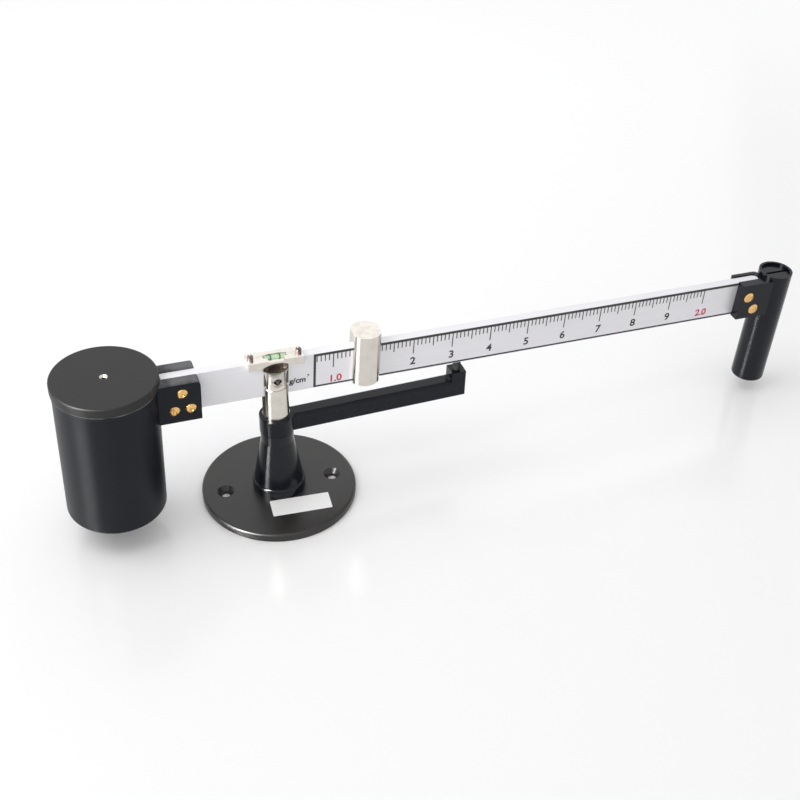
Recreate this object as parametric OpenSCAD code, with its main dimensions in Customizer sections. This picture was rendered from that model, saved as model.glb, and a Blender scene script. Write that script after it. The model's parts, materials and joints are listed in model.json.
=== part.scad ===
// Mud balance: an unequal-arm beam scale that reads the density of a full cup of liquid.
// The round base stands on z = 0 with the pillar's axis through the origin, and the beam runs along X,
// with the cup on the left and the ballast tube on the right. Sizes are in millimetres.

/* [Base] */
// Radius of the round base plate
base_r = 41.6; // [38:0.2:55]
// Thickness of the base plate
base_t = 4; // [3.6:0.2:8]
// Rounding of the base plate's upper edge
base_round = 1.4; // [0.4:0.1:2]
// How far the base plate is turned on the pillar, in degrees
base_turn = -4.4; // [-10:0.2:10]
// Distance between the centres of the two fixing holes
hole_pitch = 58.6; // [50:0.2:62]
// Radius of the fixing holes
hole_r = 2.4; // [1.6:0.1:3]
// Radius of the countersinks at the top of the plate
sink_r = 4.6; // [3.6:0.1:6]

/* [Pillar] */
// Height of the pillar, with its foot ring
pillar_h = 38; // [30:1:60]
// Radius of the foot ring
foot_r = 14.2; // [14:0.2:18]
// Height of the foot ring
foot_h = 6; // [4:0.2:8]
// Rounding of the foot ring's upper edge
foot_round = 1.8; // [0.6:0.1:2.4]
// Radius of the cone where it leaves the foot ring
cone_r = 13.3; // [10:0.1:13.6]
// Radius of the pillar's neck
neck_r = 8.7; // [7.4:0.1:9.6]
// Height of the straight neck at the top of the pillar
neck_h = 6; // [2:0.5:10]
// Radius of the screw that holds the pillar to the base plate
screw_r = 3; // [2:0.5:4]
// Length of that screw under its head
screw_l = 18; // [12:1:20]

/* [Stop arm] */
// Radius of the arm's collar on top of the pillar
collar_r = 9; // [8:0.1:12]
// Height of the arm and its collar
arm_h = 10; // [7:0.5:14]
// Width of the arm
arm_w = 8.4; // [6:0.2:12]
// Rounding of the arm's upper edges
arm_edge = 1.5; // [0.4:0.1:2.4]
// Distance from the pillar's axis to the arm's far end
arm_l = 105; // [80:1:140]
// Length of the raised horn at the arm's end
horn_l = 8; // [6:0.5:12]
// Height of the horn above the arm
horn_h = 5.6; // [2:0.2:7]
// Radius of the fillet in front of the horn
horn_fillet = 1.5; // [0.5:0.1:2]
// Radius of the rubber bumper that the beam rests on
bumper_r = 2.1; // [1.5:0.1:2.4]

/* [Bearing post] */
// Radius of the nickel-plated post
post_r = 7.1; // [6.8:0.1:8]
// Radius of the spigot that goes down through the collar into the pillar
spigot_r = 4.95; // [3:0.05:5.5]
// Length of the spigot
spigot_l = 24; // [12:1:25]
// Height of the knife edge above the collar
knife_rise = 22.4; // [18:0.2:30]
// Width of the slot that the beam lies in
slot_w = 6.8; // [6.4:0.1:8]
// Height of the slot's floor above the collar
slot_floor = 1.5; // [0.5:0.5:4]
// Radius of the head's waist
waist_r = 6.2; // [6:0.1:6.6]
// Radius of the flared rim
rim_r = 7.6; // [7.2:0.1:8]
// Height of the rim above the knife edge
rim_rise = 9; // [8.2:0.2:9.6]
// Depth of the head below the knife edge
head_drop = 3; // [2.6:0.1:5]

/* [Knife and seats] */
// Height of the knife's triangular section
knife_h = 3.2; // [2.6:0.1:3.4]
// Half the width of the knife's back
knife_half = 1.4; // [1:0.1:1.6]
// Length of the knife
knife_l = 11.4; // [9.4:0.2:11.8]
// Radius of the hardened seat bushes
seat_r = 3; // [2.8:0.1:3.1]
// Radius of the opening in each seat
seat_open_r = 2.3; // [2.2:0.05:2.5]
// Thickness of the plates that grip the knife on the beam's faces
plate_t = 0.5; // [0.3:0.1:0.6]
// Length of those plates along the beam
plate_l = 12.8; // [12:0.1:14]

/* [Beam] */
// Height of the beam's bar
beam_h = 21.2; // [18:0.2:24]
// Thickness of the bar
beam_t = 5; // [4:0.1:5.2]
// Height of the bar's upper edge above the knife edge
beam_up = 13.4; // [12.6:0.2:15]
// Tilt of the beam at rest on its bumper, right end down, in degrees
beam_tilt = 1.78; // [1:0.02:2.4]

/* [Level] */
// Length of the level's saddle
level_l = 28.6; // [28.6:0.2:40]
// Depth of the saddle from front to back
level_w = 9.2; // [8:0.2:10]
// Height of the saddle's top above the bar
level_top = 1.5; // [1.2:0.1:2.5]
// Depth of the saddle's skirts below the bar's upper edge
skirt_h = 2.9; // [2:0.1:3.4]
// Width of the arch in the skirts
arch_w = 17; // [14:0.5:18]
// Radius of the glass vial
vial_r = 1.7; // [1.4:0.1:1.9]
// Length of the glass vial
vial_l = 12; // [10:0.5:14]
// Thickness of the vial's glass
glass_t = 0.4; // [0.3:0.05:0.5]
// Distance from the knife to each of the saddle's screws
level_screw_x = 12.5; // [11:0.1:12.6]

/* [Cup and lid] */
// Distance from the knife edge to the cup's axis
cup_x = 84.5; // [80:0.5:100]
// Outer radius of the cup
cup_r = 25.3; // [22:0.1:30]
// Wall of the cup
cup_wall = 1.2; // [1:0.1:3]
// Floor of the cup
cup_floor = 1.8; // [1:0.1:4]
// Depth of the cup's bottom below the knife edge
cup_drop = 61.3; // [50:0.5:62]
// Height of the cup's rim above the knife edge
cup_rim = 14.4; // [14.3:0.1:18]
// How far the bead at the cup's rim stands out past the wall
bead_over = 0.5; // [0.2:0.1:0.7]
// Height of that bead
bead_h = 2.2; // [1.6:0.2:4]
// How far the lid stands out past the cup
lid_over = 0.8; // [0.2:0.1:2]
// Thickness of the lid
lid_t = 4.6; // [3:0.1:6]
// Depth of the ring under the lid that centres it in the cup
lid_ring_h = 3; // [2:0.5:6]
// Radius of the vent hole in the lid
vent_r = 1; // [0.5:0.1:1.5]

/* [Cup bracket] */
// Thickness of each tine of the cup's fork
tine_t = 6.8; // [4:0.1:7.4]
// Distance from the knife edge to the tips of the tines
tine_x = 39.8; // [37:0.1:42]
// How far the tines stand above the bar
tine_over = 0.8; // [0.2:0.1:2]
// How far the tines reach below the bar
tine_under = 1.4; // [0.4:0.1:3]
// Rounding of the tines' upper edges
tine_edge = 1.2; // [0.4:0.1:2]
// Rounding of the upper corner at the tines' tips
tine_tip = 3; // [1:0.5:6]
// Radius of the rivets' shanks
rivet_r = 1.4; // [1:0.1:1.6]
// Radius of the cup rivets' heads
cup_head_r = 2.75; // [2:0.05:3]
// Radius of the tube rivets' heads
tube_head_r = 3.1; // [2.4:0.05:3.4]
// Height of the rivets' heads
head_h = 1.3; // [0.8:0.1:1.6]
// Radius of the hollow in the cup rivets' heads
hollow_r = 1.1; // [0.6:0.05:1.3]

/* [Ballast tube] */
// Distance from the knife edge to the tube's axis
tube_x = 298.4; // [280:0.2:340]
// Outer radius of the tube
tube_r = 9.5; // [9:0.1:12]
// Wall of the tube
tube_wall = 1.4; // [1.2:0.1:2.4]
// Height of the tube's mouth above the knife edge
tube_up = 16.3; // [15:0.1:20]
// Depth of the tube's bottom below the knife edge
tube_drop = 56.8; // [45:0.2:60]
// Thickness of the fork's front cheek
cheek_t = 5.2; // [3:0.1:6]
// Thickness of the fork's rear leg
leg_t = 2.2; // [1.6:0.1:3]
// Gap between the bar and the rear leg
leg_gap = 0.6; // [0.2:0.1:0.8]
// Length of the fork, from its tip to the end of its slot
fork_l = 14.5; // [13.5:0.5:18]
// Depth of the plug below the tube's mouth
plug_sink = 1.5; // [1:0.5:5]
// Thickness of the plug
plug_t = 6; // [4:0.5:10]
// Radius of the lead shot
shot_r = 2.3; // [1.8:0.1:2.5]
// Layers of lead shot
shot_layers = 6; // [2:1:8]

/* [Rider] */
// Distance from the knife edge to the rider's middle, as it stands now
rider_x = 48.2; // [30:0.2:250]
// Width of the rider along the beam
rider_w = 14.5; // [10:0.5:16]
// Radius of the rider's rounded front and back
rider_r = 8.2; // [7.6:0.1:10]
// Height of the rider above the bar
rider_over = 7.9; // [4:0.1:10]
// How far the rider's legs reach below the bar
rider_under = 0.6; // [0.2:0.1:1.5]
// Thickness of the rider's leaf spring
leaf_t = 0.3; // [0.2:0.05:0.4]

/* [Hidden] */
$fn = 96;

// Overshoot that keeps a cut clear of the face it passes through
eps = 0.5;
// Radial clearance of a fixed round fit
fit_gap = 0.02;
// Gap between a piece that slides and its guide
slide_gap = 0.25;
// Gap between faces that rest on each other across a joint
rest_gap = 0.02;

pillar_z = base_t;
collar_z = pillar_z + pillar_h;
post_z = collar_z + arm_h;
knife_z = post_z + knife_rise;
rim_z = knife_z + rim_rise;
head_z = knife_z - head_drop;
beam_down = beam_h - beam_up;
spigot_bore_r = spigot_r + 0.05;

screw_head_r = screw_r + 2.2;
screw_head_h = 2.2;
screw_sink_h = screw_head_h + 0.4;

horn_x = arm_l - horn_l / 2;

seat_mid = 1.9;
seat_t = waist_r - slot_w / 2 - 0.1;
recess_floor_r = waist_r - 0.7;
recess_wall = 0.8;
head_reach = max(rim_r, post_r) + eps;
recess_h = rim_rise - seat_mid - seat_r - 0.9;
flare_z = knife_z + 0.6;
flare_rise = rim_z - flare_z;
flare_d = rim_r - waist_r;
flare_r = (flare_d * flare_d + flare_rise * flare_rise) / (2 * flare_d);

plate_low = -1.2;
pin_r = 0.9;
pin_x = 4.8;
pin_z = 9;

vial_z = beam_up + 0.3;
vial_notch = vial_r - 0.3 + 0.1;
level_gap = 0.05;
arch_h = skirt_h - 0.3;
arch_r = (arch_w * arch_w / 4 + arch_h * arch_h) / (2 * arch_h);
plate_high = beam_up - skirt_h + arch_rise(plate_l / 2) - 0.2;
window_l = 8.4;
sill_h = 0.6;
level_head_r = 1.5;
level_head_h = 1.8;
level_shank_r = 1.1;
level_shank_l = 5;

cup_in_r = cup_r - cup_wall;
cup_root_x = cup_x - cup_r - bead_over - 0.3;
bead_edge = 0.5;
bar_left = -(cup_root_x - 0.5);
cup_rivet_spots = [[-49.1, 7.7], [-53.3, -2.2], [-45.1, -1.9]];
lid_r = cup_r + lid_over;
lid_ring_r = cup_in_r - 0.2;
lid_ring_t = 1.6;

fork_end = tube_x - tube_r - 1.9;
fork_tip = fork_end - fork_l;
fork_slot_w = beam_t + leg_gap;
fork_slot_r = fork_slot_w / 2;
fork_back = beam_t / 2 + leg_gap + leg_t;
fork_round = 3;
fork_over = 0.6;
tube_in_r = tube_r - tube_wall;
tube_floor = 2;
bar_right = fork_end - 0.4;
tube_rivet_spots = [[fork_end - 8.9, 5.4], [fork_end - 3.9, -3]];
plug_r = tube_in_r - 0.1;
plug_slot_w = 1.6;
plug_slot_h = 1.6;
shot_ring_r = 2 * shot_r / sqrt(3) + 0.1;
shot_pitch = 1.72 * shot_r;

rider_gap = beam_t / 2 + slide_gap;
pocket_l = 11;
pocket_w = 3.6;
pocket_h = 1.5;
leaf_l = 9.6;
leaf_w = 3;
leaf_bow = 0.8;
leaf_r = (leaf_l * leaf_l / 4 + leaf_bow * leaf_bow) / (2 * leaf_bow);

// Height of the bar's underside above the table, at a distance x from the pillar's axis, at rest
function under_bar(x) = knife_z - x * tan(beam_tilt) - beam_down / cos(beam_tilt);

// Height of the saddle's arch above the foot of its skirts, at a distance x from the middle
function arch_rise(x) = sqrt(arch_r * arch_r - x * x) - (arch_r - arch_h);

// Places a child that is drawn in the beam's own frame, with the knife edge at the origin
module on_beam() {
    translate([0, 0, knife_z]) rotate([0, beam_tilt, 0]) children();
}

// A square corner less a quarter disc, to be cut from an outline that gets a rounded corner
module corner_cut(r) {
    difference() {
        square([r + eps, r + eps]);
        circle(r = r);
    }
}

// A bar's outline drawn in X and Z, extruded between two places along Y
module side_extrude(y0, y1) {
    translate([0, y1, 0]) rotate([90, 0, 0]) linear_extrude(height = y1 - y0) children();
}

// A round bar or hole along Y, centred at x and z
module cross_rod(x, z, r, y0, y1) {
    translate([x, y1, z]) rotate([90, 0, 0]) cylinder(r = r, h = y1 - y0);
}

module base_plate() {
    color("#2b2b2e") rotate([0, 0, base_turn]) difference() {
        rotate_extrude() difference() {
            square([base_r, base_t]);
            translate([base_r - base_round, base_t - base_round]) corner_cut(base_round);
        }
        for (side = [-1, 1]) translate([side * hole_pitch / 2, 0, 0]) {
            translate([0, 0, -eps]) cylinder(r = hole_r, h = base_t + 2 * eps);
            translate([0, 0, base_t - (sink_r - hole_r)]) cylinder(r1 = hole_r, r2 = sink_r, h = sink_r - hole_r);
            translate([0, 0, base_t - 0.001]) cylinder(r = sink_r, h = eps);
        }
        translate([0, 0, -eps]) cylinder(r = screw_r + 0.2, h = base_t + 2 * eps);
        translate([0, 0, -eps]) cylinder(r = screw_head_r + 0.4, h = screw_sink_h + eps);
    }
}

module pillar() {
    color("#1d1d1f") translate([0, 0, pillar_z]) difference() {
        rotate_extrude() {
            polygon([[0, 0], [cone_r, 0], [cone_r, foot_h], [neck_r, pillar_h - neck_h],
                [neck_r, pillar_h], [0, pillar_h]]);
            difference() {
                square([foot_r, foot_h]);
                translate([foot_r - foot_round, foot_h - foot_round]) corner_cut(foot_round);
            }
        }
        translate([0, 0, -eps]) cylinder(r = screw_r + fit_gap, h = screw_l + eps);
        translate([0, 0, pillar_h + arm_h - spigot_l]) cylinder(r = spigot_bore_r, h = spigot_l);
    }
}

module pillar_screw() {
    color("#8d8f93") translate([0, 0, screw_sink_h - screw_head_h]) {
        difference() {
            cylinder(r = screw_head_r, h = screw_head_h);
            translate([0, 0, -eps]) cylinder(r = screw_r, h = screw_head_h / 2 + eps, $fn = 6);
        }
        cylinder(r = screw_r, h = screw_l);
    }
}

// The arm's section, seen along the arm
module arm_section() {
    difference() {
        translate([-arm_w / 2, 0]) square([arm_w, arm_h]);
        for (side = [0, 1]) mirror([side, 0])
            translate([arm_w / 2 - arm_edge, arm_h - arm_edge]) corner_cut(arm_edge);
    }
}

module stop_arm() {
    color("#1d1d1f") translate([0, 0, collar_z]) difference() {
        union() {
            cylinder(r = collar_r, h = arm_h);
            rotate([90, 0, 90]) linear_extrude(height = arm_l - horn_l + eps) arm_section();
            translate([arm_l - horn_l, -arm_w / 2, 0]) cube([horn_l, arm_w, arm_h + horn_h]);
            side_extrude(arm_edge - arm_w / 2, arm_w / 2 - arm_edge) difference() {
                translate([arm_l - horn_l - horn_fillet, arm_h - eps]) square([horn_fillet + eps, horn_fillet + eps]);
                translate([arm_l - horn_l - horn_fillet, arm_h + horn_fillet]) circle(r = horn_fillet);
            }
        }
        translate([0, 0, -eps]) cylinder(r = spigot_bore_r, h = arm_h + 2 * eps);
        translate([horn_x, 0, arm_h + horn_h - 2]) cylinder(r = bumper_r - 0.5, h = 2 + eps);
    }
}

module stop_bumper() {
    horn_z = post_z + horn_h;
    color("#151515") {
        translate([horn_x, 0, horn_z]) cylinder(r = bumper_r, h = under_bar(horn_x + bumper_r) - horn_z - rest_gap);
        translate([horn_x, 0, horn_z - 1.8]) cylinder(r = bumper_r - 0.55, h = 1.8);
    }
}

module bearing_post() {
    color("#c9c4ba") difference() {
        union() {
            translate([0, 0, post_z - spigot_l + 0.3]) cylinder(r = spigot_r, h = spigot_l);
            translate([0, 0, post_z]) cylinder(r = post_r, h = head_z - post_z);
            rotate_extrude() difference() {
                translate([0, head_z - eps]) square([rim_r, rim_z - head_z + eps]);
                translate([waist_r + flare_r, flare_z]) circle(r = flare_r, $fn = 360);
                translate([waist_r, head_z - 2 * eps]) square([rim_r, 2 * eps]);
            }
        }
        translate([-head_reach, -slot_w / 2, post_z + slot_floor])
            cube([2 * head_reach, slot_w, rim_z - post_z]);
        translate([0, 0, rim_z - recess_h])
            cylinder(r1 = recess_floor_r, r2 = rim_r - recess_wall, h = recess_h);
        translate([0, 0, rim_z - 0.001]) cylinder(r = rim_r - recess_wall, h = eps);
        cross_rod(0, knife_z + seat_mid, seat_r + fit_gap, -rim_r, rim_r);
    }
}

// A hardened bush with a V notch that the knife edge rests in, drawn at its place in front
module knife_seat() {
    difference() {
        cross_rod(0, seat_mid, seat_r, -slot_w / 2 - seat_t, -slot_w / 2);
        intersection() {
            cross_rod(0, seat_mid, seat_open_r, -rim_r, 0);
            side_extrude(-rim_r, 0) polygon([[0, -rest_gap], [4 * seat_r, 4 * seat_r - rest_gap],
                [-4 * seat_r, 4 * seat_r - rest_gap]]);
        }
    }
}

module knife_seat_front() {
    color("#6f6a60") translate([0, 0, knife_z]) knife_seat();
}

module knife_seat_rear() {
    color("#6f6a60") translate([0, 0, knife_z]) rotate([0, 0, 180]) knife_seat();
}

// The knife's section, grown by a gap on every flank where it is cut from the beam
module knife_section(gap) {
    polygon([[0, -2 * gap], [knife_half + gap, knife_h + gap], [-knife_half - gap, knife_h + gap]]);
}

module knife_edge() {
    color("#57524b") on_beam() side_extrude(-knife_l / 2, knife_l / 2) knife_section(0);
}

module beam_bar() {
    color("#cfd0d4") on_beam() difference() {
        union() {
            translate([bar_left, -beam_t / 2, -beam_down])
                cube([bar_right - beam_t / 2 - bar_left, beam_t, beam_h]);
            translate([bar_right - beam_t / 2, 0, -beam_down]) cylinder(r = beam_t / 2, h = beam_h);
        }
        side_extrude(-beam_t, beam_t) knife_section(fit_gap);
        for (spot = concat(cup_rivet_spots, tube_rivet_spots))
            cross_rod(spot[0], spot[1], rivet_r + fit_gap, -beam_t, beam_t);
        for (side = [-1, 1]) {
            cross_rod(side * pin_x, pin_z, pin_r + fit_gap, -beam_t, beam_t);
            translate([side * level_screw_x, 0, beam_up - level_shank_l])
                cylinder(r = level_shank_r + fit_gap, h = level_shank_l + eps);
        }
        translate([-vial_l / 2 - 0.2, -beam_t, beam_up - vial_notch])
            cube([vial_l + 0.4, 2 * beam_t, vial_notch + eps]);
    }
}

// One of the two plates that grip the knife, drawn between two places along Y
module knife_plate(y0, y1) {
    difference() {
        side_extrude(y0, y1) difference() {
            translate([-plate_l / 2, plate_low]) square([plate_l, plate_high - plate_low]);
            knife_section(fit_gap);
        }
        for (side = [-1, 1]) cross_rod(side * pin_x, pin_z, pin_r + fit_gap, y0 - eps, y1 + eps);
    }
}

module knife_plate_front() {
    color("#5d4f45") on_beam() knife_plate(-beam_t / 2 - plate_t, -beam_t / 2);
}

module knife_plate_rear() {
    color("#5d4f45") on_beam() knife_plate(beam_t / 2, beam_t / 2 + plate_t);
}

module knife_pins() {
    pin_half = beam_t / 2 + plate_t + 0.1;
    color("#8d8f93") on_beam() for (side = [-1, 1]) cross_rod(side * pin_x, pin_z, pin_r, -pin_half, pin_half);
}

module level_saddle() {
    color("#cbc6bc") on_beam() difference() {
        side_extrude(-level_w / 2, level_w / 2) difference() {
            translate([-level_l / 2, beam_up - skirt_h]) square([level_l, skirt_h + level_top]);
            translate([0, beam_up - skirt_h + arch_h - arch_r]) circle(r = arch_r, $fn = 180);
        }
        translate([-level_l / 2 - eps, -beam_t / 2 - level_gap, beam_up - skirt_h - eps])
            cube([level_l + 2 * eps, beam_t + 2 * level_gap, skirt_h + eps]);
        translate([-vial_l / 2 - 0.1, 0, vial_z]) rotate([0, 90, 0]) cylinder(r = vial_r + 0.05, h = vial_l + 0.2);
        translate([-window_l / 2, -level_w, beam_up + sill_h]) cube([window_l, level_w + vial_r + 0.2, level_top]);
        for (side = [-1, 1]) translate([side * level_screw_x, 0, beam_up - eps])
            cylinder(r = level_shank_r + fit_gap, h = level_top + 2 * eps);
    }
}

module level_vial() {
    color("#bfe3c4") on_beam() translate([-vial_l / 2, 0, vial_z]) rotate([0, 90, 0]) difference() {
        cylinder(r = vial_r, h = vial_l);
        translate([0, 0, glass_t]) cylinder(r = vial_r - glass_t, h = vial_l - 2 * glass_t);
    }
}

module vial_liquid() {
    fill_r = vial_r - glass_t - fit_gap;
    fill_l = vial_l - 2 * glass_t - 2 * fit_gap;
    color("#58a548") on_beam() translate([-fill_l / 2, 0, vial_z]) difference() {
        rotate([0, 90, 0]) cylinder(r = fill_r, h = fill_l);
        translate([1, 0, fill_r]) rotate([0, 90, 0]) cylinder(r = fill_r / 2, h = fill_l / 4);
    }
}

module level_screws() {
    color("#a9a9a6") on_beam() for (side = [-1, 1]) translate([side * level_screw_x, 0, beam_up]) {
        translate([0, 0, level_top]) difference() {
            cylinder(r = level_head_r, h = level_head_h);
            translate([-0.3, -level_head_r - eps, level_head_h / 2])
                cube([0.6, 2 * level_head_r + 2 * eps, level_head_h]);
        }
        translate([0, 0, 0.2 - level_shank_l]) cylinder(r = level_shank_r, h = level_shank_l + level_top - 0.1);
    }
}

// The rear tine's section, seen along the beam
module tine_section(low, high) {
    difference() {
        translate([beam_t / 2, low]) square([tine_t, high - low]);
        translate([beam_t / 2 + tine_t - tine_edge, high - tine_edge]) corner_cut(tine_edge);
        translate([beam_t / 2 + tine_edge, high - tine_edge]) mirror([1, 0]) corner_cut(tine_edge);
    }
}

// The two tines that grip the bar, from inside the cup's wall to their tips
module cup_fork() {
    low = -beam_down - tine_under;
    high = beam_up + tine_over;
    root = -cup_x + cup_in_r / 2;
    side = beam_t / 2 + tine_t;
    intersection() {
        side_extrude(-side, side) difference() {
            translate([root, low]) square([-tine_x - root, high - low]);
            translate([-tine_x - tine_tip, high - tine_tip]) corner_cut(tine_tip);
        }
        translate([root, 0, 0]) rotate([90, 0, 90]) linear_extrude(height = -tine_x - root) {
            tine_section(low, high);
            mirror([1, 0]) tine_section(low, high);
        }
    }
}

module cup() {
    color("#161618") on_beam() difference() {
        union() {
            translate([-cup_x, 0, 0]) rotate_extrude() {
                difference() {
                    translate([0, -cup_drop]) square([cup_r, cup_drop + cup_rim]);
                    translate([cup_r - 2, 2 - cup_drop]) mirror([0, 1]) corner_cut(2);
                }
                difference() {
                    translate([0, cup_rim - bead_h]) square([cup_r + bead_over, bead_h]);
                    translate([cup_r + bead_over - bead_edge, cup_rim - bead_edge]) corner_cut(bead_edge);
                    translate([cup_r + bead_over - bead_edge, cup_rim - bead_h + bead_edge])
                        mirror([0, 1]) corner_cut(bead_edge);
                }
            }
            cup_fork();
        }
        translate([-cup_x, 0, cup_floor - cup_drop]) cylinder(r = cup_in_r, h = cup_drop + cup_rim);
        translate([-cup_root_x, -beam_t / 2, -beam_down - tine_under - eps])
            cube([cup_root_x, beam_t, beam_h + tine_under + tine_over + 2 * eps]);
        for (spot = cup_rivet_spots)
            cross_rod(spot[0], spot[1], rivet_r + fit_gap, -beam_t / 2 - tine_t - eps, beam_t / 2 + tine_t + eps);
    }
}

// A domed head that stands on the plane y = 0 and faces away from the viewer's side
module rivet_head(r) {
    ball_r = (r * r + head_h * head_h) / (2 * head_h);
    rotate([-90, 0, 0]) rotate_extrude() intersection() {
        translate([0, head_h - ball_r]) circle(r = ball_r);
        square([r, head_h]);
    }
}

// A rivet through both sides of a fork, with a domed head at each end
module rivet(spot, r, y0, y1) {
    cross_rod(spot[0], spot[1], rivet_r, y0, y1);
    translate([spot[0], y1, spot[1]]) rivet_head(r);
    translate([spot[0], y0, spot[1]]) mirror([0, 1, 0]) rivet_head(r);
}

module cup_rivets() {
    face = beam_t / 2 + tine_t;
    color("#c99a4b") on_beam() for (spot = cup_rivet_spots) difference() {
        rivet(spot, cup_head_r, -face, face);
        translate([spot[0], -face - head_h - 0.2, spot[1]]) sphere(r = hollow_r);
        translate([spot[0], face + head_h + 0.2, spot[1]]) sphere(r = hollow_r);
    }
}

module lid() {
    color("#2e2e31") on_beam() translate([-cup_x, 0, cup_rim + rest_gap]) difference() {
        rotate_extrude() union() {
            difference() {
                square([lid_r, lid_t]);
                translate([lid_r - 0.9, lid_t - 0.9]) corner_cut(0.9);
            }
            translate([lid_ring_r - lid_ring_t, -lid_ring_h]) square([lid_ring_t, lid_ring_h + eps]);
        }
        translate([0, 0, -eps]) cylinder(r = vent_r, h = lid_t + 2 * eps);
        translate([0, 0, lid_t - vent_r]) cylinder(r1 = vent_r, r2 = 2 * vent_r, h = vent_r);
        translate([0, 0, lid_t - 0.001]) cylinder(r = 2 * vent_r, h = eps);
    }
}

module fork_outline() {
    back_y = fork_back - fork_round;
    front_y = -beam_t / 2 - cheek_t;
    translate([fork_tip, front_y]) square([fork_end - fork_tip - 0.8, fork_back - front_y]);
    translate([fork_end - 0.8, back_y]) circle(r = fork_round);
    translate([fork_tip, front_y]) square([tube_x - fork_tip, back_y - front_y]);
}

module ballast_tube() {
    slot_y = leg_gap / 2;
    color("#161618") on_beam() difference() {
        union() {
            translate([tube_x, 0, 0]) rotate_extrude() difference() {
                translate([0, -tube_drop]) square([tube_r, tube_drop + tube_up]);
                translate([tube_r - 1, 1 - tube_drop]) mirror([0, 1]) corner_cut(1);
            }
            translate([0, 0, -beam_down - fork_over]) linear_extrude(height = beam_h + 2 * fork_over) fork_outline();
        }
        translate([tube_x, 0, tube_floor - tube_drop]) cylinder(r = tube_in_r, h = tube_drop + tube_up);
        translate([0, 0, -beam_down - fork_over - eps])
            linear_extrude(height = beam_h + 2 * fork_over + 2 * eps) union() {
                translate([fork_tip - eps, slot_y - fork_slot_r]) square([fork_l + eps - fork_slot_r, fork_slot_w]);
                translate([fork_end - fork_slot_r, slot_y]) circle(r = fork_slot_r);
            }
        for (spot = tube_rivet_spots)
            cross_rod(spot[0], spot[1], rivet_r + fit_gap, -beam_t / 2 - cheek_t - eps, fork_back + eps);
    }
}

module tube_rivets() {
    color("#d8a763") on_beam() for (spot = tube_rivet_spots)
        rivet(spot, tube_head_r, -beam_t / 2 - cheek_t, fork_back);
}

module lead_shot() {
    color("#7c7f85") on_beam() translate([tube_x, 0, tube_floor - tube_drop + shot_r + 0.05])
        for (layer = [0:shot_layers - 1], turn = [0:2])
            rotate([0, 0, 120 * turn + 60 * (layer % 2)]) translate([shot_ring_r, 0, layer * shot_pitch])
                sphere(r = shot_r, $fn = 32);
}

module tube_plug() {
    color("#1d1d1f") on_beam() translate([tube_x, 0, tube_up - plug_sink - plug_t]) difference() {
        cylinder(r = plug_r, h = plug_t);
        translate([-plug_r - eps, -plug_slot_w / 2, plug_t - plug_slot_h])
            cube([2 * plug_r + 2 * eps, plug_slot_w, plug_slot_h + eps]);
    }
}

module rider() {
    low = -beam_down - rider_under;
    color("#cfcabf") on_beam() translate([rider_x, 0, 0]) difference() {
        intersection() {
            translate([0, 0, low]) cylinder(r = rider_r, h = beam_up + rider_over - low);
            translate([-rider_w / 2, -rider_r, low]) cube([rider_w, 2 * rider_r, beam_up + rider_over - low]);
        }
        translate([-rider_w, -rider_gap, low - eps]) cube([2 * rider_w, 2 * rider_gap, beam_up + 0.1 - low + eps]);
        translate([-pocket_l / 2, -pocket_w / 2, beam_up]) cube([pocket_l, pocket_w, pocket_h]);
    }
}

module rider_spring() {
    color("#8a6f45") on_beam() translate([rider_x, 0, beam_up + rest_gap]) intersection() {
        side_extrude(-leaf_w / 2, leaf_w / 2) difference() {
            translate([0, leaf_r]) circle(r = leaf_r, $fn = 180);
            translate([0, leaf_r]) circle(r = leaf_r - leaf_t, $fn = 180);
        }
        translate([-leaf_l / 2, -leaf_w, -eps]) cube([leaf_l, 2 * leaf_w, pocket_h]);
    }
}

base_plate();
pillar();
pillar_screw();
stop_arm();
stop_bumper();
bearing_post();
knife_seat_front();
knife_seat_rear();
beam_bar();
knife_edge();
knife_plate_front();
knife_plate_rear();
knife_pins();
level_saddle();
level_vial();
vial_liquid();
level_screws();
cup();
cup_rivets();
lid();
ballast_tube();
tube_rivets();
lead_shot();
tube_plug();
rider();
rider_spring();
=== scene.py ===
"""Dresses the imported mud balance: its finishes, the printed scale, the bare label and the studio."""
import json
import math

import bmesh
import bpy
from bpy.props import FloatProperty, FloatVectorProperty, PointerProperty
from bpy.types import Operator, Panel, PropertyGroup
from mathutils import Matrix, Vector


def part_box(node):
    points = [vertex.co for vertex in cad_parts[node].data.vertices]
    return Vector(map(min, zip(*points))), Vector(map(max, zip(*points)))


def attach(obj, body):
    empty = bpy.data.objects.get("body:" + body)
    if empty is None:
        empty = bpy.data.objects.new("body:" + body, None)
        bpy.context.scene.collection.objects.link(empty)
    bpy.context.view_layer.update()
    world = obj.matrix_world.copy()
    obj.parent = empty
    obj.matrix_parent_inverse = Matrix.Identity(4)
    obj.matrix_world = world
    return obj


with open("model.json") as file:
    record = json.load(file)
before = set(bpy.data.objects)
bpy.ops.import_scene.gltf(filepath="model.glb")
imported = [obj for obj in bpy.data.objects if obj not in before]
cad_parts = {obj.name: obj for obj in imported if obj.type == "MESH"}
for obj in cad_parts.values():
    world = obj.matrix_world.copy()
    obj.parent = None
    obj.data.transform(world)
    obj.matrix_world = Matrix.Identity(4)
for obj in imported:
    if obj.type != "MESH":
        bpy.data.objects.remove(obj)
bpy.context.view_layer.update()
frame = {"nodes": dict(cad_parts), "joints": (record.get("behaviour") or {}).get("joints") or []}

bl_info = {
    "name": "Mud balance",
    "version": (1, 0, 0),
    "blender": (4, 5, 0),
    "location": "3D View > Sidebar > Mud balance",
    "description": "Finishes, printed scale, label and studio of a mud balance",
    "category": "Object",
}

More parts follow.
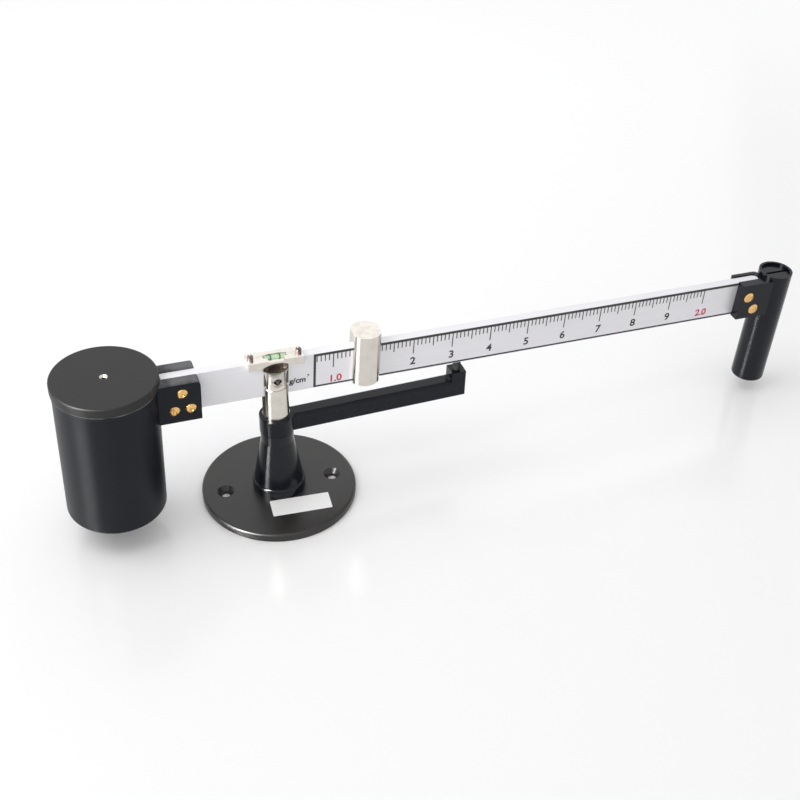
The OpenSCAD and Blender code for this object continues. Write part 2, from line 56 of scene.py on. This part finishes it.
MM = 0.001
joints = {joint["name"]: joint for joint in frame["joints"]}
knife_edge = Vector(joints["beam_pivot"]["pos_m"])
beam_along = Vector(joints["rider_slide"]["axis"]).normalized()
beam_tilt = math.atan2(-beam_along.z, beam_along.x)

# The beam's own frame, in millimetres from the knife edge: X runs along the beam and Z points up it.
BEAM = Matrix.Translation(knife_edge) @ Matrix.Rotation(beam_tilt, 4, "Y") @ Matrix.Scale(MM, 4)


def length(name, words, default, low=0.0):
    """A size in metres with its name and description."""
    return FloatProperty(name=name, description=words, default=default, min=low, unit="LENGTH",
                         subtype="DISTANCE")


def power(name, words, default):
    """A lamp's power in watts with its name and description."""
    return FloatProperty(name=name, description=words, default=default, min=0, unit="POWER")


def colour(name, words, default):
    """A linear colour with its name and description."""
    return FloatVectorProperty(name=name, description=words, default=default, size=3, subtype="COLOR",
                               min=0, max=1)


class MudBalanceScale(PropertyGroup):
    """Sizes of the printed scale on the beam's front."""
    left: length("Left end", "Distance from the knife edge to the border's left end", 19.8 * MM)
    right: length("Right end", "Distance from the knife edge to the borders' right end", 272.4 * MM)
    top_border: length("Top border", "Width of the line along the top", 1.5 * MM)
    foot_border: length("Bottom border", "Width of the line along the bottom", 1.0 * MM)
    left_border: length("Left border", "Width of the upright line at the left", 1.3 * MM)
    zero_x: length("Place of 1.0", "Distance from the knife edge to the line of 1.0", 30.4 * MM)
    pitch: length("Pitch", "Distance between neighbouring lines", 2.2 * MM, 0.5 * MM)
    short: length("Short line", "Length of the lines of the second decimal", 4.4 * MM)
    middle: length("Middle line", "Length of the line halfway between two figures", 6.3 * MM)
    tall: length("Long line", "Length of the lines that carry a figure", 9.3 * MM)
    line: length("Line width", "Width of the lines", 0.55 * MM)
    figure: length("Figure height", "Height of the printed figures", 4.4 * MM)
    stroke: length("Figure stroke", "How far the figures' strokes are thickened", 0.16 * MM)
    ink: colour("Ink", "Colour of the scale's lines and black figures", (0.02, 0.02, 0.022))
    red_ink: colour("Red ink", "Colour of the figures at both ends", (0.5, 0.01, 0.07))


class MudBalanceFinish(PropertyGroup):
    """Colours of the balance's surfaces."""
    cast: colour("Base plate", "Colour of the cast base plate", (0.0135, 0.012, 0.011))
    black: colour("Gloss black", "Colour of pillar, arm, cup and tube", (0.0047, 0.006, 0.0103))
    lid: colour("Lid", "Colour of the lid's dull plastic", (0.021, 0.02, 0.02))
    nickel: colour("Nickel", "Colour of the plating on post, rider and level", (0.66, 0.625, 0.57))
    bar: colour("Beam", "Colour of the aluminium beam", (0.73, 0.725, 0.755))
    steel: colour("Knife steel", "Colour of the knife and its plates", (0.16, 0.13, 0.11))
    brass: colour("Brass", "Colour of the rivets, and darkened of the rider's spring", (0.78, 0.5, 0.2))
    spirit: colour("Spirit", "Colour of the liquid in the level", (0.55, 0.86, 0.5))
    screws: colour("Screws", "Colour of the level's stained screws", (0.2, 0.16, 0.155))
    pins: colour("Pins", "Colour of the knife's pins and the pillar's screw", (0.42, 0.4, 0.38))
    seats: colour("Knife seats", "Colour of the hardened seats", (0.62, 0.58, 0.52))
    marks: colour("Level marks", "Colour of the two marks round the level's glass", (0.02, 0.12, 0.04))


class MudBalanceLabel(PropertyGroup):
    """Size and place of the bare label on the base plate."""
    across: length("Width", "Width of the label", 31.8 * MM)
    deep: length("Depth", "Depth of the label", 11.8 * MM)
    thick: length("Thickness", "Thickness of the label", 0.35 * MM)
    corner: length("Corner", "Radius of the label's corners", 0.6 * MM)
    x: length("Right", "Distance of its middle to the right of the pillar", 6.1 * MM, -50 * MM)
    y: length("Back", "Distance of its middle behind the pillar", -20.7 * MM, -50 * MM)
    turn: FloatProperty(name="Turn", description="How far the label is turned", subtype="ANGLE",
                        unit="ROTATION", default=math.radians(-5.5))


class MudBalanceStudio(PropertyGroup):
    """Floor, lamps and surroundings."""
    floor: colour("Floor", "Colour of the table", (0.97, 0.97, 0.975))
    front: colour("Front", "Colour of the room behind the camera", (0.8, 0.78, 0.755))
    back: colour("Back", "Colour of the room behind the balance", (0.685, 0.695, 0.71))
    key: power("Key lamp", "Power of the lamp at the left", 5.2)
    strip: power("Strip lamp", "Power of the narrow lamp that shows in reflections only", 85.0)
    panel: power("Soft panel", "Power of the panel behind the balance", 2.0)


class Wire:
    """A value inside a material. Arithmetic on it adds Math nodes."""

    def __init__(self, finish, socket):
        self.finish = finish
        self.socket = socket

    def __add__(self, other):
        return self.finish.maths("ADD", self, other)

    def __radd__(self, other):
        return self.finish.maths("ADD", other, self)

    def __sub__(self, other):
        return self.finish.maths("SUBTRACT", self, other)

    def __rsub__(self, other):
        return self.finish.maths("SUBTRACT", other, self)

    def __mul__(self, other):
        return self.finish.maths("MULTIPLY", self, other)

    def __rmul__(self, other):
        return self.finish.maths("MULTIPLY", other, self)


class Finish:
    """One material and the nodes that it is built from."""

    def __init__(self, name, owner=None):
        self.material = owner or bpy.data.materials.new(name)
        self.material.use_nodes = True
        self.tree = self.material.node_tree
        self.tree.nodes.clear()

    def add(self, kind, sockets=None, out=0, **settings):
        """A node of this type: settings first, then the values or links of its sockets."""
        node = self.tree.nodes.new("ShaderNode" + kind)
        for name, value in settings.items():
            setattr(node, name, value)
        for name, value in (sockets or {}).items():
            self.plug(node.inputs[name], value)
        return Wire(self, node.outputs[out])

    def plug(self, socket, value):
        """Links a wire to the socket, or sets the socket's own value."""
        if isinstance(value, Wire):
            self.tree.links.new(value.socket, socket)
        elif socket.type == "RGBA" and len(value) == 3:
            socket.default_value = (*value, 1.0)
        else:
            socket.default_value = value

    def maths(self, operation, first, second):
        """One Math node."""
        return self.add("Math", {0: first, 1: second}, operation=operation)

    def place(self, scale=(1, 1, 1), turn=(0, 0, 0), move=(0, 0, 0)):
        """Object coordinates in metres, moved, turned and scaled."""
        here = self.add("TexCoord", out="Object")
        return self.add("Mapping", {"Vector": here, "Location": move, "Rotation": turn, "Scale": scale})

    def noise(self, where, scale, detail=3.0, roughness=0.5):
        """Noise from 0 to 1."""
        sockets = {"Vector": where, "Scale": scale, "Detail": detail, "Roughness": roughness}
        return self.add("TexNoise", sockets)

    def step(self, value, low, high):
        """0 below low, 1 above high and smooth between."""
        return self.add("MapRange", {"Value": value, "From Min": low, "From Max": high}, clamp=True,
                        interpolation_type="SMOOTHSTEP")

    def mix(self, share, first, second):
        """A colour between two colours."""
        return self.add("Mix", {0: share, 6: first, 7: second}, out=2, data_type="RGBA")

    def bump(self, height, depth, strength=1.0, under=None):
        """A bump as deep as depth, in metres, over another bump if one is given."""
        sockets = {"Height": height, "Distance": depth, "Strength": strength}
        if under:
            sockets["Normal"] = under
        return self.add("Bump", sockets)

    def done(self, bump=None, **sockets):
        """Closes the material with a Principled shader: Base_Color=..., Roughness=... and so on."""
        named = {name.replace("_", " "): value for name, value in sockets.items()}
        if bump:
            named["Normal"] = bump
        return self.close(self.add("BsdfPrincipled", named), "OutputMaterial")

    def close(self, shader, kind):
        """Links a shader to the output of the material or the world."""
        output = self.tree.nodes.new("ShaderNode" + kind)
        self.tree.links.new(shader.socket, output.inputs["Surface"])
        return self.material


def cast_finish(settings):
    """Cast plate under a thin satin paint, a little mottled."""
    f = Finish("cast_paint")
    here = f.place()
    cloud = f.noise(here, 45.0, 4.0, 0.6)
    grain = f.noise(here, 1500.0, 2.0)
    cloudy = f.step(cloud, 0.35, 0.65)
    tint = f.mix(cloudy, [c * 0.82 for c in settings.cast], [c * 1.2 for c in settings.cast])
    rough = 0.25 + cloud * 0.1 + grain * 0.05
    bump = f.bump(grain, 0.00004, 0.5, f.bump(cloud, 0.0002, 0.25))
    return f.done(bump, Base_Color=tint, Roughness=rough, Specular_IOR_Level=0.5)


def gloss_finish(settings, name, rough, shine=0.18, painted_highlight_above=None):
    """Smooth black plastic or enamel, a little wavy and dusty, with a painted highlight, a pale band,
    above a height if one is given.
    """
    f = Finish(name)
    here = f.place()
    wave = f.noise(here, 30.0, 1.0)
    dust = f.noise(here, 900.0, 4.0, 0.7)
    tint = f.mix(f.step(dust, 0.55, 0.8), settings.black, [c + 0.008 for c in settings.black])
    # Painted highlight: a pale, patchy band at the top of the wall that stands in for the light caught
    # just under the lid.
    if painted_highlight_above:
        height = f.add("SeparateXYZ", {0: f.place(turn=(0, -beam_tilt, 0))}, out="Z")
        patches = f.step(f.noise(here, 120.0, 3.0), 0.2, 0.6)
        painted_highlight = f.step(height, painted_highlight_above, painted_highlight_above + 0.2 * MM) * patches
        tint = f.mix(painted_highlight, tint, [c + 0.12 for c in settings.black])
    bump = f.bump(wave, 0.0003, 0.12, f.bump(dust, 0.00001, 0.2))
    return f.done(bump, Base_Color=tint, Roughness=rough + dust * 0.08, Specular_IOR_Level=shine)


def lid_finish(settings):
    """Dull plastic with faint rings of turning, a fine grain and a bright countersink round the vent."""
    sink_edge = 4.28 * MM  # from the lid's centre to the countersink's edge
    blur = 0.04 * MM
    ring_rate = 5200.0  # radians of the rings' wave in each metre
    f = Finish("lid_plastic")
    low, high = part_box("lid")
    centre = (low + high) / 2
    here = f.place(move=[-c for c in centre])
    away = f.add("VectorMath", {0: here}, out="Value", operation="LENGTH")
    rings = f.add("Math", {0: away * ring_rate}, operation="SINE")
    cloud = f.noise(here, 70.0, 3.0)
    grain = f.noise(here, 2600.0, 2.0)
    plain = f.mix(cloud, [c * 0.85 for c in settings.lid], [c * 1.15 for c in settings.lid])
    vent = 1.0 - f.step(away, sink_edge - blur, sink_edge + blur)
    tint = f.mix(vent, plain, settings.nickel)
    rough = 0.4 + cloud * 0.1 - vent * 0.25
    bump = f.bump(grain, 0.00005, 0.45, f.bump(rings, 0.000006, 0.25))
    return f.done(bump, Base_Color=tint, Roughness=rough, Metallic=vent, Specular_IOR_Level=0.24)


def nickel_finish(settings):
    """Plated metal with fine turning marks and a few duller patches."""
    f = Finish("nickel_plate")
    here = f.place()
    lines = f.noise(f.place(scale=(1, 1, 60)), 60.0, 3.0)
    patch = f.noise(here, 160.0, 4.0, 0.6)
    tint = f.mix(f.step(patch, 0.4, 0.7), settings.nickel, [c * 0.9 for c in settings.nickel])
    rough = 0.15 + f.step(patch, 0.45, 0.75) * 0.1 + lines * 0.05
    return f.done(f.bump(lines, 0.00004, 0.8), Base_Color=tint, Roughness=rough, Metallic=1.0)


def bar_finish(settings):
    """Anodised aluminium, brushed along the beam."""
    f = Finish("brushed_bar")
    along = f.place(scale=(18, 900, 2200), turn=(0, -beam_tilt, 0))
    strokes = f.noise(along, 1.0, 3.0, 0.6)
    cloud = f.noise(f.place(), 25.0, 3.0)
    tint = f.mix(strokes, [c * 0.92 for c in settings.bar], [c * 1.06 for c in settings.bar])
    rough = 0.36 + strokes * 0.14 + cloud * 0.08
    return f.done(f.bump(strokes, 0.00002, 0.35), Base_Color=tint, Roughness=rough, Metallic=0.5)


def steel_finish(name, tint, rough):
    """Ground or turned steel with a trace of oil and tarnish."""
    f = Finish(name)
    scratch = f.noise(f.place(scale=(1, 12, 1)), 700.0, 3.0)
    stain = f.noise(f.place(), 260.0, 4.0, 0.6)
    shade = f.mix(f.step(stain, 0.4, 0.7), tint, [c * 0.6 for c in tint])
    bump = f.bump(scratch, 0.00001, 0.4)
    return f.done(bump, Base_Color=shade, Roughness=rough + stain * 0.15, Metallic=1.0)


def brass_finish(settings, name="rivet_brass", share=1.0):
    """Brass with darker tarnish in patches."""
    f = Finish(name)
    stain = f.noise(f.place(), 420.0, 4.0, 0.65)
    wear = f.step(stain, 0.45, 0.68)
    stained = [c * share * k for c, k in zip(settings.brass, (0.62, 0.5, 0.4))]
    tint = f.mix(wear, [c * share for c in settings.brass], stained)
    return f.done(f.bump(stain, 0.00004, 0.3), Base_Color=tint, Roughness=0.2 + wear * 0.2, Metallic=1.0)


def rubber_finish():
    """Black rubber with a dusty bloom."""
    f = Finish("bumper_rubber")
    bloom = f.noise(f.place(), 600.0, 4.0)
    tint = f.mix(bloom, (0.006, 0.006, 0.006), (0.016, 0.0155, 0.015))
    return f.done(f.bump(bloom, 0.00005, 0.4), Base_Color=tint, Roughness=0.75 + bloom * 0.15)


def glass_finish(settings):
    """Clear glass with the spirit's tint, see-through by its alpha."""
    f = Finish("vial_glass")
    drawn = f.noise(f.place(scale=(1, 8, 8)), 300.0, 2.0)
    tint = [0.6 + 0.4 * c for c in settings.spirit]
    return f.done(f.bump(drawn, 0.00001, 0.3), Base_Color=tint, Roughness=0.03 + drawn * 0.03, Alpha=0.22)


def spirit_finish(settings):
    """The level's coloured spirit, a little darker in patches."""
    f = Finish("level_spirit")
    cloud = f.noise(f.place(), 200.0, 2.0)
    tint = f.mix(cloud, [c * 0.85 for c in settings.spirit], settings.spirit)
    return f.done(Base_Color=tint, Roughness=0.08 + cloud * 0.04)


def lead_finish():
    """Dull grey lead."""
    f = Finish("lead_shot")
    skin = f.noise(f.place(), 500.0, 4.0)
    tint = f.mix(skin, (0.12, 0.125, 0.135), (0.22, 0.225, 0.24))
    return f.done(f.bump(skin, 0.0001, 0.4), Base_Color=tint, Roughness=0.5 + skin * 0.2, Metallic=0.6)


def ink_finish(name, tint):
    """Printed ink, slightly thin in places."""
    f = Finish(name)
    thin = f.noise(f.place(), 900.0, 3.0)
    shade = f.mix(f.step(thin, 0.55, 0.85), tint, [min(1.0, c + 0.12) for c in tint])
    return f.done(Base_Color=shade, Roughness=0.5 + thin * 0.1)


def label_finish():
    """White card under a clear film."""
    f = Finish("label_card")
    fibre = f.noise(f.place(), 700.0, 3.0)
    sag = f.noise(f.place(), 90.0, 2.0)
    tint = f.mix(fibre, (0.95, 0.95, 0.95), (0.99, 0.99, 0.99))
    return f.done(f.bump(sag, 0.0002, 0.3), Base_Color=tint, Roughness=0.35 + fibre * 0.1)


def seen_rays(finish):
    """Above 0 for the rays that show a background: straight from the camera, mirrored or let through."""
    path = {kind: finish.add("LightPath", out="Is %s Ray" % kind)
            for kind in ("Camera", "Glossy", "Transmission")}
    return path["Camera"] + path["Glossy"] + path["Transmission"]


def dress(material, *nodes):
    """Gives CAD nodes their finish."""
    for name in nodes:
        mesh = frame["nodes"][name].data
        mesh.materials.clear()
        mesh.materials.append(material)


def piece(name, bm, body, material, place):
    """Turns a bmesh into a finished piece that rides on a body. place takes it to the shared frame."""
    bmesh.ops.transform(bm, matrix=place, verts=bm.verts)
    bmesh.ops.recalc_face_normals(bm, faces=bm.faces)
    mesh = bpy.data.meshes.new(name)
    bm.to_mesh(mesh)
    bm.free()
    mesh.materials.append(material)
    thing = bpy.data.objects.new(name, mesh)
    bpy.context.scene.collection.objects.link(thing)
    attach(thing, body)


def slab(bm, low, high):
    """A thin block between two corners, added to a bmesh."""
    middle = [(a + b) / 2 for a, b in zip(low, high)]
    size = [b - a for a, b in zip(low, high)]
    bmesh.ops.create_cube(bm, size=1.0, matrix=Matrix.Translation(middle) @ Matrix.Diagonal((*size, 1.0)))


def figures(bm, words, height, matrix, thick, stroke):
    """Plain figures as a thin solid, centred on the matrix's origin, in its XY plane."""
    tall_share = 0.69  # a figure's height as a share of the font's size
    curve = bpy.data.curves.new("figures", "FONT")
    curve.offset = stroke
    curve.body = words
    curve.size = height / tall_share
    curve.align_x = "CENTER"
    curve.align_y = "CENTER"
    curve.extrude = thick / 2
    thing = bpy.data.objects.new("figures", curve)
    mesh = thing.to_mesh()
    mesh.transform(matrix)
    bm.from_mesh(mesh)
    thing.to_mesh_clear()
    bpy.data.objects.remove(thing)
    bpy.data.curves.remove(curve)


def bar_corners():
    """The beam bar's low and high corner in the beam's frame, in millimetres."""
    to_beam = BEAM.inverted()
    places = [to_beam @ vertex.co for vertex in frame["nodes"]["beam_bar"].data.vertices]
    low = Vector([min(place[axis] for place in places) for axis in range(3)])
    high = Vector([max(place[axis] for place in places) for axis in range(3)])
    return low, high


def on_front(x, z, front):
    """A matrix whose X runs along the beam and whose Y points up it, at a place in the beam's frame."""
    return Matrix.Translation((x, front, z)) @ Matrix.Rotation(math.radians(90), 4, "X")


def place_camera(scene):
    """The camera as it was fitted to the photo."""
    right = Vector((0.936553, -0.349447, 0.027648))
    up = Vector((0.196609, 0.588954, 0.783883))
    eye = (-0.12303, -0.48198, 0.45388)
    camera = bpy.data.objects.new("camera", bpy.data.cameras.new("camera"))
    scene.collection.objects.link(camera)
    camera.data.sensor_width = 36.0
    camera.data.lens = 55.105
    camera.data.clip_start = 0.02
    camera.data.clip_end = 20.0
    turned = Matrix((right, up, right.cross(up))).transposed().to_4x4()
    camera.matrix_world = Matrix.Translation(eye) @ turned
    scene.camera = camera


def lay_table(scene, studio):
    """A white table with a slight gloss, which turns plain white for the eye towards its far edges."""
    middle = (0.1, 1.0, -0.2 * MM)  # just under the base plate, so that the two never share a plane
    plain_near, plain_far = 0.45, 0.9
    bm = bmesh.new()
    bmesh.ops.create_grid(bm, x_segments=8, y_segments=8, size=4.0)
    bmesh.ops.translate(bm, verts=bm.verts, vec=middle)
    mesh = bpy.data.meshes.new("table")
    bm.to_mesh(mesh)
    bm.free()
    table = bpy.data.objects.new("table", mesh)
    scene.collection.objects.link(table)
    f = Finish("white_table")
    card = f.add("BsdfPrincipled", {"Base Color": tuple(studio.floor), "Roughness": 0.15})
    bright = f.add("Emission", {"Color": tuple(studio.floor), "Strength": 1.0})
    away = f.add("VectorMath", {0: f.place()}, out="Value", operation="LENGTH")
    far = f.step(away, plain_near, plain_far) * seen_rays(f)
    f.close(f.add("MixShader", {0: far, 1: card, 2: bright}), "OutputMaterial")
    mesh.materials.append(f.material)


def colour_room(scene, studio):
    """A pale room, a little brighter behind the camera, that shows as white where it is seen."""
    scene.world = bpy.data.worlds.new("studio")
    room = Finish("studio", scene.world)
    around = room.add("TexCoord", out="Generated")
    depth = room.add("SeparateXYZ", {0: around}, out="Y")
    tone = room.mix(room.step(depth, -0.9, 0.5), tuple(studio.front), tuple(studio.back))
    shown = room.mix(seen_rays(room), tone, (1.0, 1.0, 1.0))
    room.close(room.add("Background", {"Color": shown, "Strength": 1.0}), "OutputWorld")


def hang_lamps(scene, studio):
    """Three rectangular lamps that all point at the balance's middle."""
    aim = Vector((0.05, 0, 0.04))
    for name, watts, size, spot in (("key", studio.key, (0.9, 0.9), (-0.6, 0.1, 1.0)),
                                    ("strip", studio.strip, (0.34, 1.2), (-0.98, -0.34, 0.7)),
                                    ("panel", studio.panel, (1.5, 0.9), (0.35, 1.2, 0.62))):
        lamp = bpy.data.lights.new(name, "AREA")
        lamp.energy = watts
        lamp.shape = "RECTANGLE"
        lamp.size, lamp.size_y = size
        thing = bpy.data.objects.new(name, lamp)
        scene.collection.objects.link(thing)
        thing.location = spot
        thing.rotation_mode = "QUATERNION"
        thing.rotation_quaternion = (aim - Vector(spot)).to_track_quat("-Z", "Y")
        # The strip draws the bright lines down the round walls and adds no diffuse light.
        thing.visible_diffuse = name != "strip"


class PieceOperator(Operator):
    """What all the operators share: they can be undone."""
    bl_options = {"REGISTER", "UNDO"}


class MUDBALANCE_OT_stand(PieceOperator):
    """Finish the base plate, the pillar, the stop arm and its bumper"""
    bl_idname = "mudbalance.stand"
    bl_label = "Stand"

    def execute(self, context):
        settings = context.scene.mudbalance_finish
        dress(cast_finish(settings), "base_plate")
        dress(gloss_finish(settings, "gloss_enamel", 0.12, 0.28), "pillar")
        dress(gloss_finish(settings, "arm_enamel", 0.16, 0.2), "stop_arm")
        dress(rubber_finish(), "stop_bumper")
        return {"FINISHED"}


class MUDBALANCE_OT_nickel(PieceOperator):
    """Finish the plated pieces: bearing post, level saddle and rider"""
    bl_idname = "mudbalance.nickel"
    bl_label = "Plated pieces"

    def execute(self, context):
        settings = context.scene.mudbalance_finish
        dress(nickel_finish(settings), "bearing_post", "level_saddle", "rider")
        dress(brass_finish(settings, "spring_bronze", 0.7), "rider_spring")
        return {"FINISHED"}


class MUDBALANCE_OT_knife(PieceOperator):
    """Finish the knife, its plates, its seats and the steel screws and pins"""
    bl_idname = "mudbalance.knife"
    bl_label = "Knife and screws"

    def execute(self, context):
        settings = context.scene.mudbalance_finish
        dark = steel_finish("knife_steel", settings.steel, 0.28)
        dress(dark, "knife_edge", "knife_plate_front", "knife_plate_rear")
        dress(steel_finish("screw_steel", settings.pins, 0.24), "pillar_screw", "knife_pins")
        dress(steel_finish("stained_steel", settings.screws, 0.42), "level_screws")
        dress(steel_finish("seat_steel", settings.seats, 0.2), "knife_seat_front", "knife_seat_rear")
        return {"FINISHED"}


class MUDBALANCE_OT_bar(PieceOperator):
    """Finish the aluminium beam"""
    bl_idname = "mudbalance.bar"
    bl_label = "Beam"

    def execute(self, context):
        dress(bar_finish(context.scene.mudbalance_finish), "beam_bar")
        return {"FINISHED"}


class MUDBALANCE_OT_cup(PieceOperator):
    """Finish the cup, its lid, the ballast tube, its plug and shot, and all the rivets"""
    bl_idname = "mudbalance.cup"
    bl_label = "Cup, tube and rivets"

    def execute(self, context):
        settings = context.scene.mudbalance_finish
        rim_up = 14.4 * MM  # the cup's rim above the knife edge, square to the beam
        # The top millimetre of the cup's wall gets a painted highlight.
        painted_highlight_band = 1.0 * MM
        rim = knife_edge.z * math.cos(beam_tilt) + rim_up
        dress(gloss_finish(settings, "cup_black", 0.34, painted_highlight_above=rim - painted_highlight_band), "cup")
        dress(gloss_finish(settings, "tube_black", 0.16, 0.26), "ballast_tube", "tube_plug")
        dress(lid_finish(settings), "lid")
        dress(brass_finish(settings), "cup_rivets", "tube_rivets")
        dress(lead_finish(), "lead_shot")
        return {"FINISHED"}


class MUDBALANCE_OT_vial(PieceOperator):
    """Finish the level's glass and spirit, and paint the two marks round the glass"""
    bl_idname = "mudbalance.vial"
    bl_label = "Level vial"

    def execute(self, context):
        settings = context.scene.mudbalance_finish
        dress(glass_finish(settings), "level_vial")
        dress(spirit_finish(settings), "vial_liquid")
        low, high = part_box("level_vial")
        middle = (low + high) / 2
        # All in millimetres, from the vial's middle.
        glass_r = (high.y - low.y) / 2 / MM
        gap = 0.02
        mark_x = 2.4
        mark_wide = 0.7
        mark_thick = 0.05
        across = Matrix.Rotation(math.radians(90), 4, "Y")
        bm = bmesh.new()
        for side in (-1, 1):
            there = Matrix.Translation((side * mark_x, 0, 0)) @ across
            bmesh.ops.create_cone(bm, cap_ends=False, segments=48, radius1=glass_r + gap,
                                  radius2=glass_r + gap, depth=mark_wide, matrix=there)
        bmesh.ops.solidify(bm, geom=bm.faces[:], thickness=mark_thick)
        place = Matrix.Translation(middle) @ Matrix.Rotation(beam_tilt, 4, "Y") @ Matrix.Scale(MM, 4)
        ink = ink_finish("vial_marks_ink", settings.marks)
        piece("vial_marks", bm, "beam", ink, place)
        return {"FINISHED"}


class MUDBALANCE_OT_scale_lines(PieceOperator):
    """Print the scale's border and lines on the beam's front"""
    bl_idname = "mudbalance.scale_lines"
    bl_label = "Scale lines"

    def execute(self, context):
        sizes = context.scene.mudbalance_scale
        low, high = bar_corners()
        # All in millimetres, in the beam's frame. The ink is a little proud and reaches into the bar.
        front = low.y - 0.04
        back = low.y + 0.02
        top = high.z - 0.2
        foot = low.z + 0.25
        left = sizes.left / MM
        right = sizes.right / MM
        under_top = top - sizes.top_border / MM
        over_foot = foot + sizes.foot_border / MM
        half = sizes.line / MM / 2
        lines_from = top - 0.65  # where the lines' lengths are counted from, within the top border
        bm = bmesh.new()
        slab(bm, (left, front, under_top), (right, back, top))
        slab(bm, (left, front, foot), (right, back, over_foot))
        slab(bm, (left, front, over_foot), (left + sizes.left_border / MM, back, under_top))
        # Four short lines stand before the one of 1.0.
        for count in range(-4, 101):
            if count % 10 == 0:
                reach = sizes.tall / MM
            elif count % 5 == 0:
                reach = sizes.middle / MM
            else:
                reach = sizes.short / MM
            x = (sizes.zero_x + count * sizes.pitch) / MM
            slab(bm, (x - half, front, lines_from - reach), (x + half, back, under_top))
        piece("scale_lines", bm, "beam", ink_finish("scale_ink", sizes.ink), BEAM)
        return {"FINISHED"}


class MUDBALANCE_OT_scale_figures(PieceOperator):
    """Print the scale's figures and its unit on the beam's front"""
    bl_idname = "mudbalance.scale_figures"
    bl_label = "Scale figures"

    def execute(self, context):
        sizes = context.scene.mudbalance_scale
        # All in millimetres, in the beam's frame.
        thick = 0.06
        middle = bar_corners()[0].y - 0.01
        tall = sizes.figure / MM
        stroke = sizes.stroke / MM
        first_x = sizes.zero_x / MM
        step_x = 10 * sizes.pitch / MM
        # Each row holds the words, their height, their middle's x and z, and their stroke.
        black = [(str(figure), tall, first_x + figure * step_x, -1.8, stroke) for figure in range(1, 10)]
        black.append(("g/cm", tall * 0.72, 11.4, -1.4, stroke))
        black.append(("3", tall * 0.42, 17.0, 0.4, stroke * 0.6))
        # The red figures stand lower than the black ones, and a little right of their lines.
        red = [("1.0", tall * 0.92, first_x + 1.2, -4.0, stroke),
               ("2.0", tall * 0.92, first_x + 10 * step_x + 0.4, -2.8, stroke)]
        for name, rows, ink, tint in (("scale_figures", black, "figure_ink", sizes.ink),
                                      ("scale_end_figures", red, "red_ink", sizes.red_ink)):
            bm = bmesh.new()
            for words, height, x, z, weight in rows:
                figures(bm, words, height, on_front(x, z, middle), thick, weight)
            piece(name, bm, "beam", ink_finish(ink, tint), BEAM)
        return {"FINISHED"}


class MUDBALANCE_OT_label(PieceOperator):
    """Lay the bare label on the base plate"""
    bl_idname = "mudbalance.label"
    bl_label = "Base label"

    def execute(self, context):
        sizes = context.scene.mudbalance_label
        rim_round = 0.1 * MM
        sunk = 0.02 * MM  # into the plate, so that no gap shows under the label
        middle_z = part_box("base_plate")[1].z + sizes.thick / 2 - sunk
        bm = bmesh.new()
        block = Matrix.Diagonal((sizes.across, sizes.deep, sizes.thick, 1.0))
        bmesh.ops.create_cube(bm, size=1.0, matrix=block)
        uprights = [e for e in bm.edges if abs((e.verts[0].co - e.verts[1].co).z) > sizes.thick / 2]
        bmesh.ops.bevel(bm, geom=uprights, offset=sizes.corner, affect="EDGES", segments=4, profile=0.5,
                        material=-1)
        rim = [e for e in bm.edges if min(v.co.z for v in e.verts) > 0]
        bmesh.ops.bevel(bm, geom=rim, offset=rim_round, affect="EDGES", segments=2, profile=0.5,
                        material=-1)
        place = Matrix.Translation((sizes.x, sizes.y, middle_z)) @ Matrix.Rotation(sizes.turn, 4, "Z")
        piece("base_label", bm, "stand", label_finish(), place)
        return {"FINISHED"}


class MUDBALANCE_OT_stage(PieceOperator):
    """Set the camera, the white table, the lamps and the room's colours"""
    bl_idname = "mudbalance.stage"
    bl_label = "Stage"

    def execute(self, context):
        scene = context.scene
        scene.view_settings.view_transform = "Standard"
        place_camera(scene)
        lay_table(scene, scene.mudbalance_studio)
        colour_room(scene, scene.mudbalance_studio)
        hang_lamps(scene, scene.mudbalance_studio)
        return {"FINISHED"}


STEPS = (MUDBALANCE_OT_stage, MUDBALANCE_OT_stand, MUDBALANCE_OT_nickel, MUDBALANCE_OT_knife,
         MUDBALANCE_OT_bar, MUDBALANCE_OT_cup, MUDBALANCE_OT_vial, MUDBALANCE_OT_scale_lines,
         MUDBALANCE_OT_scale_figures, MUDBALANCE_OT_label)
GROUPS = {"mudbalance_scale": MudBalanceScale, "mudbalance_finish": MudBalanceFinish,
          "mudbalance_label": MudBalanceLabel, "mudbalance_studio": MudBalanceStudio}


class MUDBALANCE_PT_panel(Panel):
    """Lists the balance's pieces and its settings"""
    bl_idname = "MUDBALANCE_PT_panel"
    bl_label = "Mud balance"
    bl_space_type = "VIEW_3D"
    bl_region_type = "UI"
    bl_category = "Mud balance"

    def draw(self, context):
        for step in STEPS:
            self.layout.operator(step.bl_idname)
        for group in GROUPS:
            box = self.layout.box()
            settings = getattr(context.scene, group)
            for name in settings.bl_rna.properties.keys():
                if name not in ("rna_type", "name"):
                    box.prop(settings, name)


def register():
    """Registers the settings, the operators and the panel."""
    for name, group in GROUPS.items():
        bpy.utils.register_class(group)
        setattr(bpy.types.Scene, name, PointerProperty(type=group))
    for step in STEPS:
        bpy.utils.register_class(step)
    bpy.utils.register_class(MUDBALANCE_PT_panel)


def unregister():
    """Removes what register added."""
    bpy.utils.unregister_class(MUDBALANCE_PT_panel)
    for step in reversed(STEPS):
        bpy.utils.unregister_class(step)
    for name, group in GROUPS.items():
        delattr(bpy.types.Scene, name)
        bpy.utils.unregister_class(group)


def main():
    """Builds the whole scene."""
    register()
    for step in STEPS:
        group, name = step.bl_idname.split(".")
        getattr(getattr(bpy.ops, group), name)()


if __name__ == "__main__":
    main()
